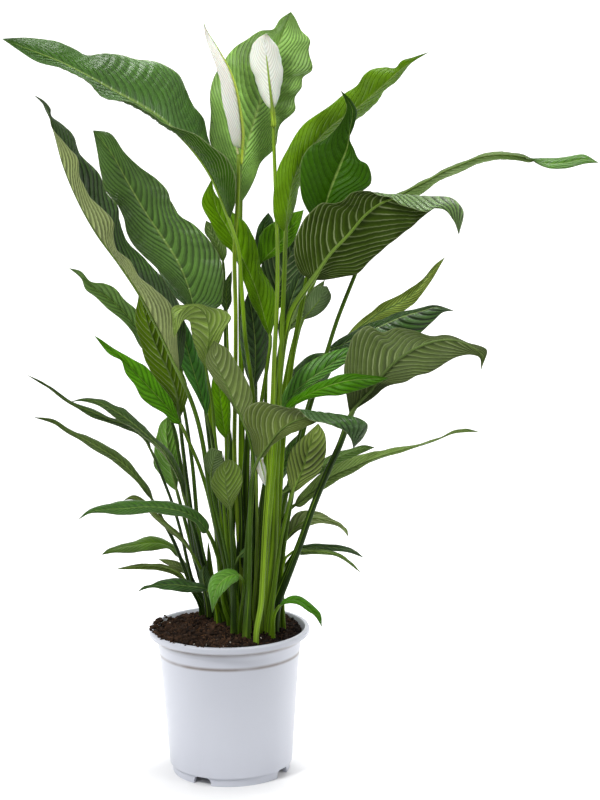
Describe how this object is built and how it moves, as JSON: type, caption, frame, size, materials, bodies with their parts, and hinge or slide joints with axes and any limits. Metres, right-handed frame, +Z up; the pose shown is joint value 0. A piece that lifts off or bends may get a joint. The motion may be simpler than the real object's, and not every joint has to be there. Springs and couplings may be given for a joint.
{
  "type": "potted peace lily",
  "caption": "Potted peace lily: lance-shaped glossy leaves on long stalks and white spathes on green flower stalks, standing in soil in a white tapered nursery pot.",
  "frame": {"origin": "centre of the pot's underside, on the surface it stands on", "axes": "+Z up along the pot axis, -Y towards the front view, +X to the right seen from the front"},
  "size_m": [0.7365, 0.3267, 0.9828],
  "materials": {
    "pot": "satin white moulded",
    "soil": "loose, matt, fibrous",
    "leaf": "waxy semi-gloss, ribbed",
    "leaf_young": "waxy semi-gloss, ribbed",
    "flower_stalk": "smooth",
    "spathe": "matt, fine ribs",
    "spadix": "knobbly"
  },
  "bodies": {
    "root": {"pot": "pot", "leaf_high_left": "leaf", "leaf_high_back": "leaf", "leaf_high_right": "leaf_young", "leaf_dark_right": "leaf", "leaf_broad_right": "leaf", "leaf_far_right": "leaf", "leaf_bright_right": "leaf_young", "leaf_ribbed_left": "leaf", "leaf_twisted_left": "leaf", "leaf_small_left": "leaf_young", "leaf_olive_left": "leaf", "leaf_bright_left": "leaf_young", "leaf_thin_left": "leaf", "leaf_arched_left": "leaf", "leaf_low_left": "leaf", "leaf_behind_left": "leaf_young", "leaf_broad_low_left": "leaf", "leaf_slim_left": "leaf", "leaf_curved_low_left": "leaf", "shoot_low_left": "leaf", "shoot_soil_left": "leaf", "leaf_front_drooping": "leaf_young", "leaf_right_rim": "leaf", "leaf_dark_low_right": "leaf", "leaf_slim_low_right": "leaf", "leaf_pale_right": "leaf", "leaf_long_right": "leaf", "leaf_long_right_back": "leaf", "leaf_underside_right": "leaf", "leaf_arched_front": "leaf", "leaf_striped_front": "leaf", "leaf_hooked_front": "leaf", "leaf_bright_centre": "leaf_young", "leaf_glossy_centre": "leaf", "leaf_dark_centre": "leaf", "leaf_yellow_centre": "leaf_young", "shoot_back_centre": "leaf", "shoot_back_right": "leaf", "shoot_low_back": "leaf", "shoot_mid_right": "leaf", "shoot_right": "leaf", "leaf_dark_far_right": "leaf", "leaf_front_right": "leaf", "leaf_glossy_right": "leaf", "leaf_wavy_right": "leaf_young", "leaf_oval_front": "leaf", "shoot_small_front": "leaf", "leaf_back_left": "leaf", "shoot_back_far_right": "leaf", "leaf_back_low_left": "leaf", "flower_stalk_high": "flower_stalk", "flower_stalk_front": "flower_stalk", "flower_stalk_low": "flower_stalk", "spathe_high": "spathe", "spathe_front": "spathe", "spathe_low": "spathe", "spadix_high": "spadix", "spadix_front": "spadix", "soil": "soil"}
  },
  "joints": []
}
